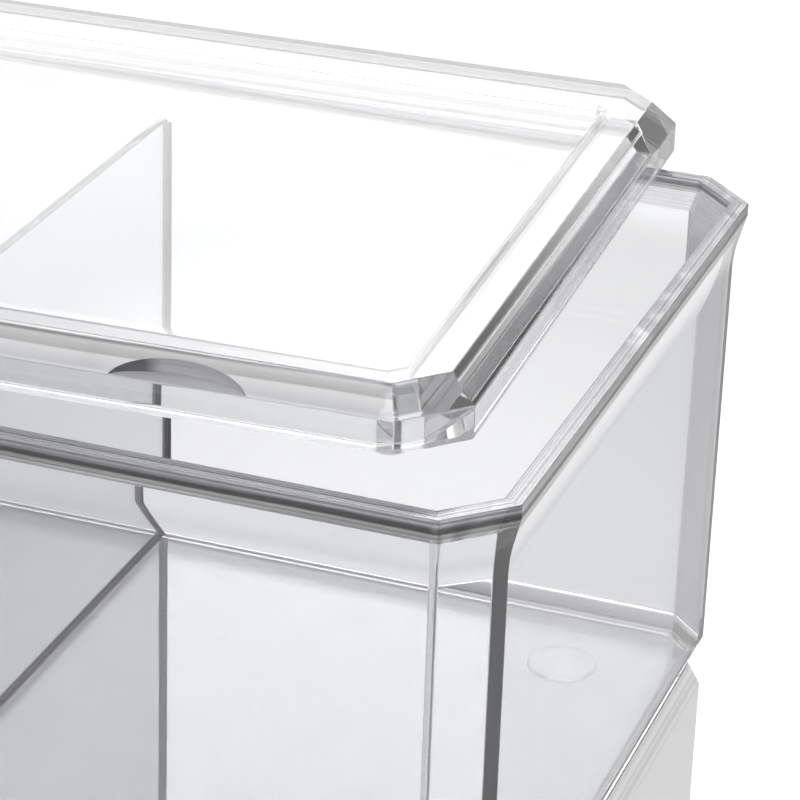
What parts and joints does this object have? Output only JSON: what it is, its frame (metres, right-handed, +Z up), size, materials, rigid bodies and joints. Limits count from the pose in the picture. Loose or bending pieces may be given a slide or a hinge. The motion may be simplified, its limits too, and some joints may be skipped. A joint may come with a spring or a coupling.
{
  "type": "cotton pad holder with drawer",
  "caption": "Clear lidded box with a divider for cotton pads, standing on a matching clear case with a pull-out drawer.",
  "frame": {"origin": "table level, under the middle of the whole assembly with its lid lying askew and its drawer shut", "axes": "+Z up, front towards -Y, +X to the right seen from the front"},
  "size_m": [0.1594, 0.1146, 0.113],
  "materials": {
    "clear_box": "polished clear moulding",
    "clear_divider": "polished clear sheet",
    "clear_lid": "polished clear moulding",
    "clear_case": "polished clear moulding",
    "clear_drawer": "polished clear moulding",
    "clear_knob": "polished clear facets",
    "steel": "bright plated steel",
    "foot_rubber": "translucent soft plastic",
    "pad_rubber": "translucent soft plastic"
  },
  "bodies": {
    "case": {"drawer_case": "clear_case", "foot_front_left": "foot_rubber", "foot_front_right": "foot_rubber", "foot_back_left": "foot_rubber", "foot_back_right": "foot_rubber", "pad_front_left": "pad_rubber", "pad_front_right": "pad_rubber", "pad_back_left": "pad_rubber", "pad_back_right": "pad_rubber"},
    "box": {"upper_box": "clear_box", "divider": "clear_divider"},
    "lid": {"lid": "clear_lid"},
    "drawer": {"drawer_tray": "clear_drawer", "knob": "clear_knob", "knob_washer": "steel", "knob_screw": "steel"}
  },
  "joints": [
    {"name": "box_lift", "type": "slide", "parent": "case", "child": "box", "axis": [0, 0, 1], "range_m": [0, 0.08]},
    {"name": "lid_lift", "type": "slide", "parent": "box", "child": "lid", "axis": [0, 0, 1], "range_m": [0, 0.06]},
    {"name": "drawer_slide", "type": "slide", "parent": "case", "child": "drawer", "axis": [0, -1, 0], "range_m": [0, 0.08]}
  ]
}
